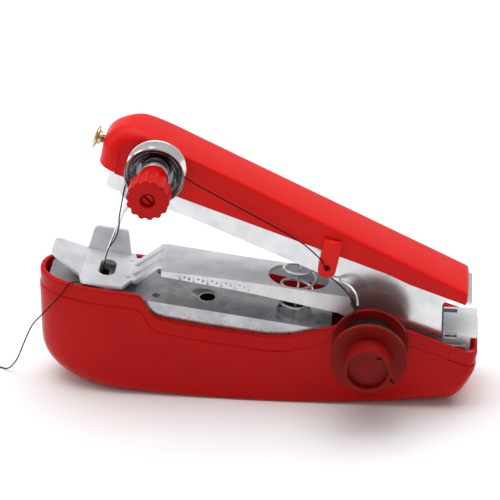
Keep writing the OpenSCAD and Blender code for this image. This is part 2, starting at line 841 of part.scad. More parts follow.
tail_route = [
    [-39.8, -1.4, 32.3], [-39.9, -1.45, 31.2], [-40.6, -2.1, 30.1], [-42.4, -4, 29.85],
    [-44.8, -6.9, 30.35], [-46.3, -8.5, 31.1], [-47.6, -9.7, 31.05], [-49.1, -10.9, 29],
    [-51.5, -11.3, 26.2], [-54.3, -10.6, 22.7], [-57.5, -9, 18.2], [-60.4, -6.2, 11.2],
    [-63, -3.6, 4.6], [-65.8, -1.7, 0.7], [-69, -0.2, 0.3], [-74, 1.4, 0.3],
    [-80, 2.4, 0.3], [-86, 2.4, 0.3], [-92, 1.4, 0.3]
];

module thread_tail() {
    color([0.05, 0.05, 0.05]) tube(smooth_path(tail_route, 3), thread_r, 8, [0.1, 1, 0.15]);
}

base_housing();
base_frame();
saddle_plate();
hinge_pin();
pin_clips();
housing_screws();
spool_spindle();
spool_washer();
looper_bracket();
looper_pin();
looper_spring();
presser_spring();
lever_cover();
lever_channel();
cover_rivets();
needle_holder();
needle();
needle_screw();
tension_post();
tension_disc_back();
tension_disc_front();
tension_spring();
tension_knob();
thread_hook();
push_strip();
presser_arm();
looper();
spool();
thread_winding();
main_spring();
thread_supply();
thread_upper();
thread_fall();
thread_tail();
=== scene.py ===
"""Looks of the handheld lever sewing machine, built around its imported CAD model."""

import json
import math
import random

import bmesh
import bpy
import numpy as np
from mathutils import Matrix, Vector


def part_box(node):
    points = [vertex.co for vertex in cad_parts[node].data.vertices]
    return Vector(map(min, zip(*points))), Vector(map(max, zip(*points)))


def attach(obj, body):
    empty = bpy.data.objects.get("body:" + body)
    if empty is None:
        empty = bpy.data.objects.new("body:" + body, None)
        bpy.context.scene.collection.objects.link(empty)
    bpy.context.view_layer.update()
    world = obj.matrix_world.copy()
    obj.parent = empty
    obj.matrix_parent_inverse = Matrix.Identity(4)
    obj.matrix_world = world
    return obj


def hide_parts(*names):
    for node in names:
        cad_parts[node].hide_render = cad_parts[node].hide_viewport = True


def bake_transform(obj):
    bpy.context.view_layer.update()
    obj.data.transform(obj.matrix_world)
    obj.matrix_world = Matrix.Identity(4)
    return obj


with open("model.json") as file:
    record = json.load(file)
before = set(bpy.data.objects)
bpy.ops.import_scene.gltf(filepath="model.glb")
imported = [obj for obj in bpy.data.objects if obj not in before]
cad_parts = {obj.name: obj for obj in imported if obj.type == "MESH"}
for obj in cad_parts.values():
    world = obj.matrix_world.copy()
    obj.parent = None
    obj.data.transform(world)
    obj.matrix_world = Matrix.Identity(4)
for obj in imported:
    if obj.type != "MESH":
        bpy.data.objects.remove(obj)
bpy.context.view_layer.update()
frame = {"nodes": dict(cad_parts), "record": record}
nodes = frame["nodes"]
MM = 0.001


# ---------- the frame's own sizes ----------

def low(node):
    return Vector(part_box(node)[0])


def high(node):
    return Vector(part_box(node)[1])


def middle(node):
    return (low(node) + high(node)) / 2


def joint(name):
    return next(j for j in frame["record"]["behaviour"]["joints"] if j["name"] == name)


HINGE = Vector(joint("lever_hinge")["pos_m"])
LEVER_DIR = Vector(joint("needle_screw_turn")["axis"]).normalized()
LEVER_UP = Vector((-LEVER_DIR.z, 0, LEVER_DIR.x))
LEVER_ORIGIN = Vector((-7.1, 0, 51.8)) * MM   # on the cover's lower edge
BASE_LOW = low("base_housing")
BASE_HIGH = high("base_housing")
HALF_W = BASE_HIGH.y
COVER_HALF = high("lever_cover").y


def on_lever(s, y, t):
    """A point given along, across and up from the lever's lower edge."""
    return LEVER_ORIGIN + LEVER_DIR * s + LEVER_UP * t + Vector((0, y, 0))


# ---------- camera ----------

VIEW_AZIMUTH = math.radians(5)
VIEW_ELEVATION = math.radians(28.5)
VIEW_DISTANCE = 0.6
VIEW_AIM = Vector((-2.8, 0, 37.7)) * MM


def make_camera():
    cam = bpy.data.cameras.new("camera")
    cam.sensor_width = 36
    cam.lens = 172
    cam.clip_start = 0.01
    cam.clip_end = 20
    obj = bpy.data.objects.new("camera", cam)
    bpy.context.scene.collection.objects.link(obj)
    back = Vector((
        math.sin(VIEW_AZIMUTH) * math.cos(VIEW_ELEVATION),
        -math.cos(VIEW_AZIMUTH) * math.cos(VIEW_ELEVATION),
        math.sin(VIEW_ELEVATION),
    ))
    obj.location = VIEW_AIM + back * VIEW_DISTANCE
    obj.rotation_euler = back.to_track_quat("Z", "Y").to_euler()
    bpy.context.scene.camera = obj


make_camera()


# ---------- node materials ----------

def srgb(r, g, b):
    """Linear colour of a colour given as 0 to 255."""
    def one(c):
        c /= 255
        return c / 12.92 if c <= 0.04045 else ((c + 0.055) / 1.055) ** 2.4
    return (one(r), one(g), one(b), 1)


class Mat:
    """A material with one Principled shader and short helpers for its nodes."""

    def __init__(self, name, color, metallic=0.0, roughness=0.4):
        self.material = bpy.data.materials.new(name)
        self.material.use_nodes = True
        self.tree = self.material.node_tree
        self.shader = self.tree.nodes["Principled BSDF"]
        self.set("Base Color", color)
        self.set("Metallic", metallic)
        self.set("Roughness", roughness)
        self.coords = self.node("ShaderNodeTexCoord").outputs["Object"]

    def set(self, socket, value):
        self.shader.inputs[socket].default_value = value

    def node(self, kind, **values):
        made = self.tree.nodes.new(kind)
        for key, value in values.items():
            if hasattr(made, key):
                setattr(made, key, value)
            else:
                made.inputs[key].default_value = value
        return made

    def link(self, a, b):
        self.tree.links.new(a, b)

    def stretched(self, scale):
        mapping = self.node("ShaderNodeMapping")
        mapping.inputs["Scale"].default_value = scale
        self.link(self.coords, mapping.inputs["Vector"])
        return mapping.outputs["Vector"]

    def noise(self, scale, detail=3.0, rough=0.55, stretch=None):
        made = self.node("ShaderNodeTexNoise", Scale=scale, Detail=detail, Roughness=rough)
        vector = self.stretched(stretch) if stretch else self.coords
        self.link(vector, made.inputs["Vector"])
        return made.outputs["Fac"]

    def cells(self, scale):
        made = self.node("ShaderNodeTexVoronoi", Scale=scale)
        self.link(self.coords, made.inputs["Vector"])
        return made.outputs["Color"]

    def to_range(self, value, from_min, from_max, to_min, to_max):
        made = self.node("ShaderNodeMapRange")
        ends = {"From Min": from_min, "From Max": from_max, "To Min": to_min, "To Max": to_max}
        for key, number in ends.items():
            made.inputs[key].default_value = number
        self.link(value, made.inputs["Value"])
        return made.outputs["Result"]

    def mix(self, factor, color_a, color_b):
        made = self.node("ShaderNodeMix", data_type="RGBA")
        for index, color in ((6, color_a), (7, color_b)):
            if isinstance(color, tuple):
                made.inputs[index].default_value = color
            else:
                self.link(color, made.inputs[index])
        self.link(factor, made.inputs[0])
        return made.outputs[2]

    def color_from(self, value):
        self.link(value, self.shader.inputs["Base Color"])

    def rough_from(self, value):
        self.link(value, self.shader.inputs["Roughness"])

    def bump(self, value, strength, distance):
        made = self.node("ShaderNodeBump", Strength=strength, Distance=distance)
        self.link(value, made.inputs["Height"])
        previous = self.shader.inputs["Normal"]
        if previous.is_linked:
            self.link(previous.links[0].from_socket, made.inputs["Normal"])
        self.link(made.outputs["Normal"], previous)


def red_plastic(name, color, dark, roughness=0.26):
    """Moulded red plastic: faint clouds in the colour, slight waviness in the gloss."""
    mat = Mat(name, color, roughness=roughness)
    mat.set("IOR", 1.5)
    mat.set("Specular IOR Level", 0.13)
    clouds = mat.to_range(mat.noise(90, 4), 0.3, 0.7, 0, 1)
    mat.color_from(mat.mix(clouds, color, dark))
    mat.rough_from(mat.to_range(mat.noise(160, 3), 0.3, 0.7, roughness, roughness + 0.03))
    mat.bump(mat.noise(40, 1), 0.02, 0.0004)
    return mat.material


def spool_plastic():
    """The spool's duller, darker plastic."""
    mat = Mat("spool_red", srgb(134, 18, 12), roughness=0.42)
    mat.set("IOR", 1.48)
    mat.set("Specular IOR Level", 0.14)
    clouds = mat.to_range(mat.noise(150, 4), 0.3, 0.7, 0, 1)
    mat.color_from(mat.mix(clouds, srgb(134, 16, 10), srgb(114, 10, 7)))
    mat.rough_from(mat.to_range(mat.noise(600, 4), 0.3, 0.7, 0.36, 0.5))
    mat.bump(mat.noise(1400, 3), 0.12, 0.00008)
    return mat.material


def zinc(name, light, dark, roughness=0.3, metallic=0.8):
    """Zinc-plated sheet: fine rolled grain, soft spangle and a few dull stains."""
    mat = Mat(name, light, metallic=metallic, roughness=roughness)
    spangle = mat.cells(420)
    stains = mat.to_range(mat.noise(140, 5, 0.65), 0.36, 0.66, 0, 1)
    tone = mat.mix(stains, light, dark)
    grey = mat.node("ShaderNodeRGBToBW")
    mat.link(spangle, grey.inputs["Color"])
    fleck = mat.to_range(grey.outputs["Val"], 0, 1, 0, 0.3)
    mat.color_from(mat.mix(fleck, tone, srgb(236, 238, 240)))
    grain = mat.noise(900, 4, 0.6, (0.35, 1, 1))
    mat.rough_from(mat.to_range(grain, 0.25, 0.75, roughness, roughness + 0.06))
    mat.bump(grain, 0.03, 0.00003)
    mat.bump(mat.noise(260, 2), 0.035, 0.00008)
    return mat.material


def bright_metal(name, color, roughness, scratch=0.06, metallic=1.0):
    """Polished or turned metal with fine marks and a few duller places."""
    mat = Mat(name, color, metallic=metallic, roughness=roughness)
    marks = mat.noise(700, 4, 0.6, (0.15, 1, 1))
    mat.rough_from(mat.to_range(marks, 0.3, 0.75, max(roughness - 0.03, 0.02), roughness + 0.07))
    dull = mat.to_range(mat.noise(300, 3), 0.35, 0.7, 0, 0.35)
    darker = tuple(c * 0.72 for c in color[:3]) + (1,)
    mat.color_from(mat.mix(dull, color, darker))
    mat.bump(marks, scratch, 0.00004)
    return mat.material


def thread_black():
    """Black thread with a little fuzz."""
    mat = Mat("thread_black", srgb(8, 8, 9), roughness=0.8)
    mat.set("Specular IOR Level", 0.2)
    fuzz = mat.noise(5200, 3)
    mat.color_from(mat.mix(mat.to_range(fuzz, 0.3, 0.7, 0, 1), srgb(6, 6, 7), srgb(20, 18, 20)))
    mat.bump(fuzz, 0.4, 0.00008)
    return mat.material


RED_BASE = red_plastic("red_housing", srgb(190, 4, 3), srgb(180, 3, 2))
RED_COVER = red_plastic("red_cover", srgb(219, 24, 20), srgb(212, 20, 17), 0.3)
# A brighter copy of the cover's red for the tab and its root: painted light where the tab tilts up
# into the top light.
RED_TAB_PAINTED_LIGHT = red_plastic("red_tab_painted_light", srgb(232, 32, 25), srgb(225, 27, 21), 0.3)
RED_KNOB = red_plastic("red_knob", srgb(196, 14, 11), srgb(186, 11, 9), 0.3)
SPOOL_RED = spool_plastic()
ZINC = zinc("zinc", srgb(234, 235, 238), srgb(204, 206, 210), 0.32, 0.42)
CHANNEL_ZINC = zinc("channel_zinc", srgb(222, 224, 226), srgb(196, 198, 202), 0.18, 0.9)
DECK_ZINC = zinc("deck_zinc", srgb(178, 180, 183), srgb(146, 149, 153), 0.2, 0.85)
WHITE_ZINC = zinc("white_zinc", srgb(240, 241, 243), srgb(222, 224, 227), 0.34, 0.45)
STEEL = bright_metal("steel", srgb(188, 190, 194), 0.26)
SPRING_WIRE = bright_metal("spring_wire", srgb(238, 239, 241), 0.16, metallic=0.75)
CHROME = bright_metal("chrome", srgb(243, 244, 246), 0.09, 0.02, 0.7)
# A darker copy of the chrome for the front tension disc: painted dark reflection in its colour.
CHROME_PAINTED_DARK = bright_metal("chrome_painted_dark", srgb(128, 129, 134), 0.1, 0.02)
BRASS = bright_metal("brass", srgb(214, 197, 152), 0.2)
THREAD = thread_black()


def paint(obj, material):
    """Make material the object's only one."""
    obj.data.materials.clear()
    obj.data.materials.append(material)


# ---------- mesh helpers ----------

def link(obj):
    bpy.context.scene.collection.objects.link(obj)
    return obj


def mesh_object(name, verts, faces, sharp_angle=35):
    """A smooth-shaded mesh, closed where points meet, sharp at the corners."""
    data = bpy.data.meshes.new(name)
    data.from_pydata([tuple(v) for v in verts], [], faces)
    data.validate()
    work = bmesh.new()
    work.from_mesh(data)
    bmesh.ops.remove_doubles(work, verts=work.verts, dist=1e-6)
    bmesh.ops.recalc_face_normals(work, faces=work.faces)
    work.to_mesh(data)
    work.free()
    data.shade_smooth()
    data.set_sharp_from_angle(angle=math.radians(sharp_angle))
    return link(bpy.data.objects.new(name, data))


def smooth_points(points, steps):
    """Points along a smooth curve through the given points, as the CAD sweeps them."""
    p = [np.array(q, float) for q in points]
    out = []
    for i in range(len(p) - 1):
        a, b, c, d = p[max(i - 1, 0)], p[i], p[i + 1], p[min(i + 2, len(p) - 1)]
        for k in range(steps):
            t = k / steps
            out.append(0.5 * (2 * b + (c - a) * t + (2 * a - 5 * b + 4 * c - d) * t * t
                              + (3 * b - a - 3 * c + d) * t ** 3))
    out.append(p[-1])
    return out


def wire(name, points, radius, resolution=4):
    """A round wire as a curve of one open spline, points in metres."""
    data = bpy.data.curves.new(name, "CURVE")
    data.dimensions = "3D"
    data.bevel_depth = radius
    data.bevel_resolution = resolution
    data.use_fill_caps = True
    spline = data.splines.new("POLY")
    spline.points.add(len(points) - 1)
    for point, place in zip(spline.points, points):
        point.co = (*place, 1)
    return link(bpy.data.objects.new(name, data))


def wire_mesh(name, points, radius, sides=12):
    """A round wire as a mesh."""
    pts = [Vector(p) for p in points]
    verts, faces = [], []
    normal = None
    for i, here in enumerate(pts):
        tangent = (pts[min(i + 1, len(pts) - 1)] - pts[max(i - 1, 0)]).normalized()
        if normal is None:
            normal = tangent.orthogonal().normalized()
        normal = (normal - tangent * normal.dot(tangent)).normalized()
        other = tangent.cross(normal)
        for k in range(sides):
            a = 2 * math.pi * k / sides
            verts.append(here + (normal * math.cos(a) + other * math.sin(a)) * radius)
    for i in range(len(pts) - 1):
        for k in range(sides):
            a, b = i * sides + k, i * sides + (k + 1) % sides
            faces.append((a, b, b + sides, a + sides))
    faces.append(tuple(range(sides - 1, -1, -1)))
    faces.append(tuple((len(pts) - 1) * sides + k for k in range(sides)))
    return mesh_object(name, verts, faces, 60)


# ---------- thread: the cords come first ----------

THREAD_R = 0.17 * MM
TAIL_ROUTE = [
    [-39.8, -1.4, 32.3], [-39.9, -1.45, 31.2], [-40.6, -2.1, 30.1], [-42.4, -4, 29.85],
    [-44.8, -6.9, 30.35], [-46.3, -8.5, 31.1], [-47.6, -9.7, 31.05], [-49.1, -10.9, 29],
    [-51.5, -11.3, 26.2], [-54.3, -10.6, 22.7], [-57.5, -9, 18.2], [-60.4, -6.2, 11.2],
    [-63, -3.6, 4.6], [-65.8, -1.7, 0.7], [-69, -0.2, 0.3], [-74, 1.4, 0.3],
    [-80, 2.4, 0.3], [-86, 2.4, 0.3], [-92, 1.4, 0.3],
]
UPPER_ROUTE = [
    [24.6, -15, 30.6], [23.9, -13.8, 32], [22.3, -11.6, 33.2], [20.2, -9.5, 34.2],
    [18.3, -8.15, 35.2], [17.3, -7.96, 36.8], [17, -8.05, 38], [17, -8.9, 38.55],
    [16.8, -9.85, 38.9], [15.4, -9.8, 41.3], [12.2, -9.3, 44.2], [9.8, -9.1, 45.9],
    [4.6, -9.3, 49.2], [-12, -10.2, 59], [-17.4, -11, 62.8], [-22.6, -11, 66.9],
    [-26, -11, 67.3], [-29.6, -11, 65], [-32.3, -11, 60.3],
]
FALL_ROUTE = [
    [-32.4, -10.9, 60], [-33.8, -9, 53.4], [-34.7, -7, 48.8], [-35.1, -5, 45.4],
    [-36.5, -2.6, 40.8], [-38.6, -1.5, 36.8], [-39.7, -1.4, 32.7],
]
SUPPLY_ROUTE = [[22.5, -15.8, 25.1], [23.4, -15.4, 27.8], [24.5, -15.05, 30.2]]


def path_of(route, steps):
    """A route in millimetres as a smooth path in metres."""
    return [Vector(p) * MM for p in smooth_points(route, steps)]


def add_run(piece, node):
    paint(piece, THREAD)
    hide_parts(node)


def make_thread():
    """The free tail and the three stretches that the machine holds."""
    tail_path = path_of(TAIL_ROUTE, 6)
    tail = wire("thread_tail_cord", tail_path, THREAD_R)
    add_run(tail, "thread_tail")
    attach(tail, "base")
    upper = wire("thread_upper_run", path_of(UPPER_ROUTE, 6), THREAD_R)
    add_run(upper, "thread_upper")
    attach(upper, "lever")

    fall_path = path_of(FALL_ROUTE, 8)
    fall = wire_mesh("thread_fall_run", fall_path, THREAD_R, 8)
    add_run(fall, "thread_fall")
    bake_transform(fall)

    supply_path = path_of(SUPPLY_ROUTE, 8)
    supply = wire_mesh("thread_supply_run", supply_path, THREAD_R, 8)
    add_run(supply, "thread_supply")
    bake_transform(supply)


make_thread()


# ---------- base housing ----------

WALL = 1.6 * MM
BOW_L = 21.5 * MM
BOW_POWER = 2.35
BOW_RISE = 12.5 * MM
BOW_SWEEP = 15 * MM
STERN_R = 2.5 * MM
STEP_DOWN = 3.9 * MM
STEP_IN = 0.25 * MM
RIM_FALL = 0.35 * MM   # where the rounded rim meets the inner wall
STERN_LINE = [(0, 46.6), (0.9, 49.3), (3.6, 51.2), (11, 54.6), (16, 55.4), (60, 55.4)]
NEAR_RIM = [
    (-56.4, 31.5), (-47, 30.7), (-32, 29.4), (-30.2, 29.05), (-29.2, 28.4), (-28.5, 27.2),
    (-27.8, 25.4), (-26.8, 23.9), (-25.4, 22.9), (-23.6, 22.4), (-12.8, 20.7), (2.7, 18.9),
    (8, 19.2), (13, 20.5), (18.4, 22.4), (23, 23.7), (28, 24.1), (33, 23.6), (38.5, 22.1),
    (55.4, 16.3),
]
FAR_RIM = [(-56.4, 31.5), (-47, 30.7), (-32, 29.4), (38.5, 22.1), (55.4, 16.3)]


def line_value(points, x):
    """The height, in metres, of a line of points in millimetres."""
    return float(np.interp(x / MM, [p[0] for p in points], [p[1] for p in points])) * MM


def soft_value(points, x, reach):
    """The line's value, averaged over a short stretch so that its corners are round."""
    offsets = np.linspace(-reach, reach, 9)
    return float(np.mean([line_value(points, x + o) for o in offsets]))


def rim_height(x, y):
    """Height of the rim on the near (y below 0) or far side."""
    if y < 0:
        return soft_value(NEAR_RIM, x, 0.5 * MM)
    return soft_value(FAR_RIM, x, 1.2 * MM)


def edge_radius(x):
    """Radius of the base's rounded lower edge, larger towards the ends."""
    centre, reach = 2 * MM, 40 * MM
    away = (x - centre) / reach
    grow = 6.0 if x > centre else 4.2
    return (0.9 + grow * away * away) * MM


def side_stations():
    """Places along the base's straight side, closer together at the cut-out."""
    places = list(np.arange((BASE_LOW.x + BOW_L) / MM, -30.5, 0.5))
    places += list(np.arange(-30.5, -22, 0.22))
    places += list(np.arange(-22, 44.5, 1.0))
    return [p * MM for p in places]


SIDE = side_stations()
SQUEEZE_FROM = 30 * MM   # behind this the stations draw together with the sloping stern
BOW_STEPS = 26
STERN_STEPS = 10


def contour(z, inset):
    """One half of the base's outline at height z, from the bow's tip to the stern's middle.
    Points are (x, half width)."""
    rise = max(0.0, 1 - z / BOW_RISE)
    nose = BASE_LOW.x + BOW_SWEEP * (1 - math.sqrt(max(0.0, 1 - rise * rise))) + inset
    stern = line_value(STERN_LINE, z) - inset
    points = []

    def half(x):
        r = edge_radius(x)
        low_part = max(0.0, 1 - z / r)
        return HALF_W - inset - r * (1 - math.sqrt(max(0.0, 1 - low_part * low_part)))

    start = SIDE[0]
    for i in range(BOW_STEPS):
        a = math.pi / 2 * i / BOW_STEPS
        x = start - (start - nose) * max(math.cos(a), 0) ** (2 / BOW_POWER)
        points.append((x, half(max(x, nose)) * math.sin(a) ** (2 / BOW_POWER)))
    last = SIDE[-1]
    corner = stern - STERN_R
    for x in SIDE:
        if x >= SQUEEZE_FROM:
            share = (x - SQUEEZE_FROM) / (last - SQUEEZE_FROM)
            x = SQUEEZE_FROM + share * (corner - SQUEEZE_FROM)
        points.append((x, half(x)))
    side_half = half(corner)
    for i in range(1, STERN_STEPS + 1):
        a = math.pi / 2 * i / STERN_STEPS
        points.append((corner + STERN_R * math.sin(a), side_half - STERN_R * (1 - math.cos(a))))
    for k in (0.66, 0.33, 0.0):
        points.append((stern, (side_half - STERN_R) * k))
    return points


def rows_outside(rim):
    """(height, inset) of each ring on the outside, from the bottom to the rim."""
    lower = [0.0, 0.05, 0.15, 0.35, 0.7, 1.2, 1.9, 2.8, 3.9, 5.2, 6.8, 8.6, 10.6, 12.6, 14.4]
    rows = [(h * MM * min(1.0, rim / (19 * MM)), 0.0) for h in lower]
    top = rows[-1][0]
    step = max(rim - STEP_DOWN, top + 0.3 * MM)
    rows += [(top + (step - top) * k, 0.0) for k in (0.4, 0.8)]
    rows += [(step - 0.22 * MM, 0.0), (step - 0.15 * MM, 0.02 * MM)]
    rows += [(step + 0.08 * MM, STEP_IN - 0.02 * MM), (step + 0.15 * MM, STEP_IN)]
    rows += [(step + 0.5 * MM, STEP_IN), (rim - 1.2 * MM, STEP_IN), (rim - 0.45 * MM, STEP_IN)]
    rows += [(rim - 0.2 * MM, STEP_IN + 0.06 * MM), (rim - 0.05 * MM, STEP_IN + 0.2 * MM)]
    rows += [(rim, STEP_IN + 0.42 * MM), (rim, WALL - 0.3 * MM)]
    rows += [(rim - 0.1 * MM, WALL - 0.08 * MM), (rim - RIM_FALL, WALL)]
    return rows


def make_base():
    """The tub: rings of points up the outside, over the rim and down the inside."""
    reference = contour(20 * MM, 0)
    count = len(reference)

    def column(place, side):
        """(height, inset) from the bottom up the outside, and down the inside."""
        x, half = place
        own = min(1.0, half / (1.5 * MM))
        rim = rim_height(x, side) * own + rim_height(x, -side) * (1 - own)
        inner = rim - RIM_FALL - WALL
        return rows_outside(rim) + [(WALL + inner * k, WALL) for k in (0.6, 0.3, 0.12, 0.03, 0.0)]

    loops = [[column(place, side) for place in reference] for side in (-1, 1)]
    cache = {}

    def ring_point(z, inset, i):
        key = (round(z, 7), round(inset, 7))
        if key not in cache:
            shift = inset if inset >= WALL - 1e-6 else 0.0
            cache[key] = contour(max(z - shift, 0.0), inset)
        return cache[key][i]

    order = [(0, i) for i in range(count)] + [(1, i) for i in range(count - 2, 0, -1)]
    height = len(loops[0][0])
    verts, faces = [], []
    for r in range(height):
        for side, i in order:
            z, inset = loops[side][i][r]
            x, w = ring_point(z, inset, i)
            verts.append(Vector((x, w * (-1 if side == 0 else 1), z)))
    around = len(order)
    for r in range(height - 1):
        for k in range(around):
            a, b = r * around + k, r * around + (k + 1) % around
            faces.append((a, b, b + around, a + around))
    for r in (0, height - 1):
        first = r * around
        for i in range(1, count - 1):
            a, b = first + i, first + i + 1
            c, d = first + (around - i - 1) % around, first + (around - i) % around
            faces.append((a, b, d) if i == count - 2 else (a, b, c, d))
        faces.append((first, first + 1, first + around - 1))
    return mesh_object("base_shell", verts, faces, 32)


base_shell = make_base()
paint(base_shell, RED_BASE)
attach(base_shell, "base")
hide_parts("base_housing")


# ---------- lever cover ----------

COVER_REAR = 63 * MM
CROWN = 0.35 * MM
COVER_WALL = 1.2 * MM
DRAFT = 1.0 * MM
NOSE_S = -26.5 * MM
NOSE_T = 4.4 * MM
NOSE_R = 8.6 * MM
SKIRT = 0.5 * MM         # how far the sides reach below the lever's edge line
SKIRT_GROWTH = 0.6 * MM  # and how much more near the tail


def cover_top(s):
    """Height of the cover's top edges above the lever's edge line."""
    return (8.83 - 0.1074 * (s / MM + 3.47)) * MM


def cover_outline():
    """Side view of the cover from the tail's foot over the top to the nose's foot."""
    pts = [(COVER_REAR, 0.0), (COVER_REAR, 0.9 * MM)]
    for i in range(1, 6):
        a = math.pi / 2 * i / 6
        pts.append((COVER_REAR - 1.3 * MM * (1 - math.cos(a)),
                    0.9 * MM + (cover_top(62 * MM) + CROWN - 0.9 * MM) * math.sin(a)))
    for s in np.linspace(61.4, -25, 40):
        pts.append((s * MM, cover_top(s * MM) + CROWN))
    nose_height = cover_top(NOSE_S) + CROWN - NOSE_T
    for i in range(1, 23):
        a = math.radians(90 + 100 * i / 22)
        pts.append((NOSE_S + NOSE_R * math.cos(a), NOSE_T + nose_height * math.sin(a)))
    pts += [(-34.75 * MM, 1.5 * MM), (-34.6 * MM, 0.6 * MM), (-34.5 * MM, -SKIRT)]
    return pts


def outward(points, i):
    """The direction out of a side view's line at its point i."""
    a, b = points[max(i - 1, 0)], points[min(i + 1, len(points) - 1)]
    d = Vector((b[0] - a[0], b[1] - a[1])).normalized()
    return Vector((d.y, -d.x))


def make_cover():
    """The cover as an open tray upside down: a skin rolled over at its edges, in two walls."""
    outline = cover_outline()
    nose_top = -18 * MM

    def loaf(inset):
        """Rows of points across the cover; inset draws the whole skin in."""
        rows = []
        for i, (s, t) in enumerate(outline):
            normal = outward(outline, i)
            nose = min(1.0, max(0.0, (nose_top - s) / (14 * MM)))
            roll = (0.9 + 4.0 * nose * nose) * MM
            depth = (0.8 + 3.4 * nose * nose) * MM
            half = COVER_HALF - inset - DRAFT * min(1.0, t / (9 * MM))
            angles = [math.radians(a) for a in (90, 78, 66, 54, 42, 30, 20, 10, 0)]
            across = [(half - roll * (1 - math.sin(a)), depth * (1 - math.cos(a))) for a in angles]
            flat = half - roll
            inner = [(flat * k, 0.0) for k in (0.75, 0.5, 0.25, 0)]
            profile = across + inner
            foot_share = min(1.0, t / (1.2 * MM)) if s > 0 else 1.0
            line = []
            for side in (-1, 1):
                part = profile if side < 0 else profile[-2::-1]
                for y, drop in part:
                    crown_drop = CROWN * 0.85 * (y / COVER_HALF) ** 2
                    here = Vector((s, t)) - normal * ((drop + crown_drop) * foot_share + inset)
                    lowest = -SKIRT if s < -30 * MM else 0.0
                    line.append((here.x, side * y, max(here.y, lowest)))
            rows.append(line)
        return rows

    verts, faces = [], []

    def add_skin(rows, flip):
        base = len(verts)
        width = len(rows[0])
        for line in rows:
            for s, y, t in line:
                verts.append(on_lever(s, y, t))
        for i in range(len(rows) - 1):
            for k in range(width - 1):
                a = base + i * width + k
                quad = (a, a + 1, a + width + 1, a + width)
                faces.append(quad[::-1] if flip else quad)
        for column in (0, width - 1):
            feet = []
            for i, line in enumerate(rows):
                s, y, _ = line[column]
                s = min(max(s, rows[-1][0][0]), rows[0][0][0])
                edge = COVER_HALF if abs(y) > COVER_HALF - 1.15 * MM else abs(y)
                drop = SKIRT + SKIRT_GROWTH * min(1.0, max(0.0, (s - 42 * MM) / (6 * MM)))
                feet.append(len(verts))
                verts.append(on_lever(s, math.copysign(edge, y), -drop))
            for i in range(len(rows) - 1):
                a = base + i * width + column
                faces.append((a, a + width, feet[i + 1], feet[i]))

    add_skin(loaf(0.0), False)
    add_skin(loaf(COVER_WALL), True)
    return mesh_object("lever_cover_shell", verts, faces, 38)


TAB_PLACE = Matrix.Translation(Vector((17.05, 0, 38.05)) * MM) @ Matrix.Rotation(
    math.radians(11), 4, "Y")
TAB_TOP = 7.9 * MM


def make_guide_tab():
    """The red tab that guides the thread, with its hole, as a flat rounded outline."""
    r = 2.25 * MM
    outline = [(-r, TAB_TOP), (-r, 0)]
    outline += [(-r * math.cos(a), -r * math.sin(a)) for a in np.linspace(0.1, math.pi - 0.1, 24)]
    outline += [(r, 0), (r, TAB_TOP)]
    hole = [(0.8 * MM * math.cos(a), 0.55 * MM + 0.8 * MM * math.sin(a))
            for a in np.linspace(0, 2 * math.pi, 33)[:-1]]
    data = bpy.data.curves.new("guide_tab", "CURVE")
    data.dimensions = "2D"
    data.fill_mode = "BOTH"
    bevel = 0.16 * MM
    data.extrude = 0.6 * MM - bevel
    data.bevel_depth = bevel
    data.bevel_resolution = 2
    data.offset = -bevel
    for loop in (outline, hole):
        spline = data.splines.new("POLY")
        spline.points.add(len(loop) - 1)
        for point, (x, z) in zip(spline.points, loop):
            point.co = (x, z, 0, 1)
        spline.use_cyclic_u = True
    obj = link(bpy.data.objects.new("guide_tab", data))
    stand = Matrix.Translation(Vector((0, -8.9 * MM, 0))) @ Matrix.Rotation(math.pi / 2, 4, "X")
    obj.matrix_world = TAB_PLACE @ stand
    return obj


def tab_root():
    """The block that joins the tab to the cover's side."""
    xs, ys, zs = (-2.25 * MM, 2.25 * MM), (-9.4 * MM, -7.9 * MM), (6 * MM, TAB_TOP)
    verts = [TAB_PLACE @ Vector((x, y, z)) for x in xs for y in ys for z in zs]
    faces = [(0, 1, 3, 2), (4, 6, 7, 5), (0, 4, 5, 1), (2, 3, 7, 6), (0, 2, 6, 4), (1, 5, 7, 3)]
    obj = mesh_object("guide_tab_root", verts, faces, 30)
    bevel = obj.modifiers.new("bevel", "BEVEL")
    bevel.width = 0.3 * MM
    bevel.segments = 3
    return obj


cover = make_cover()
paint(cover, RED_COVER)
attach(cover, "lever")
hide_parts("lever_cover")
# The tab and its root take the brighter red, which is painted light.
for piece in (make_guide_tab(), tab_root()):
    paint(piece, RED_TAB_PAINTED_LIGHT)
    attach(piece, "lever")


# ---------- springs ----------

def coil(radius, height, turns, steps, closed=0.11):
    """Points of a coil about +Z whose end turns lie closer together."""
    out = []
    for i in range(turns * steps + 1):
        t = i / (turns * steps)
        rise = t - closed * math.sin(2 * math.pi * t)
        a = 2 * math.pi * i / steps
        out.append(Vector((radius * math.cos(a), radius * math.sin(a), height * rise)))
    return out


def placed(points, matrix):
    return [matrix @ p for p in points]


def make_main_spring():
    """The big coil between deck and lever."""
    turn = Matrix.Rotation(math.radians(6.94), 4, "Y")
    seat = Vector((8.7, 0, 22.55)) * MM
    foot = Matrix.Translation(seat) @ turn @ Matrix.Translation(Vector((0, 0, 0.45 * MM)))
    path = placed(coil(4.2 * MM, 19.5 * MM, 7, 40), foot)
    main = wire_mesh("main_spring_coil", path, 0.34 * MM, 12)
    paint(main, SPRING_WIRE)
    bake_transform(main)
    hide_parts("main_spring")


def make_side_spring(name, node, body, centre, path, radius):
    """A small coil about an axis across the machine, wound from its centre towards -Y."""
    turn = Matrix.Translation(Vector(centre)) @ Matrix.Rotation(math.pi / 2, 4, "X")
    spring = wire(name, placed(path, turn), radius)
    paint(spring, SPRING_WIRE)
    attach(spring, body)
    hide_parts(node)


